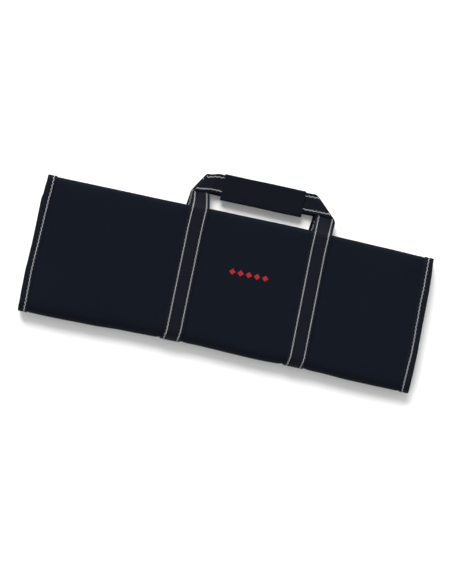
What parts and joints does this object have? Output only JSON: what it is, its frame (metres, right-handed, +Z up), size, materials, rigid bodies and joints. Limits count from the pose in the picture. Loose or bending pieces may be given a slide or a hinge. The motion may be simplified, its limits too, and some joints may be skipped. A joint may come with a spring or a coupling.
{
  "type": "roll-up case",
  "caption": "Padded cloth roll-up tool case, folded shut and lying flat, with taped short ends, webbing straps round it and a wrapped webbing carry handle.",
  "frame": {"origin": "on the floor, under the middle of the whole object's bounding box", "axes": "+X along the case's length, to the right as its front is looked at; +Y from the bottom fold towards the handle; +Z up, out of the front face"},
  "size_m": [0.5016, 0.2216, 0.0262],
  "materials": {
    "padded_nylon": "matt black-navy coarse nylon weave over thin padding",
    "binding_tape": "ribbed black tape folded over the edge",
    "nylon_webbing": "black herringbone webbing with a slight sheen",
    "grip_cloth": "matt black cloth sleeve",
    "thread": "off-white sewing thread in zigzag lines",
    "mark_thread": "red satin-stitched thread of a small plain ornament"
  },
  "bodies": {
    "root": {"cover": "padded_nylon", "left_binding": "binding_tape", "right_binding": "binding_tape", "webbing": "nylon_webbing", "grip_wrap": "grip_cloth"}
  },
  "joints": []
}
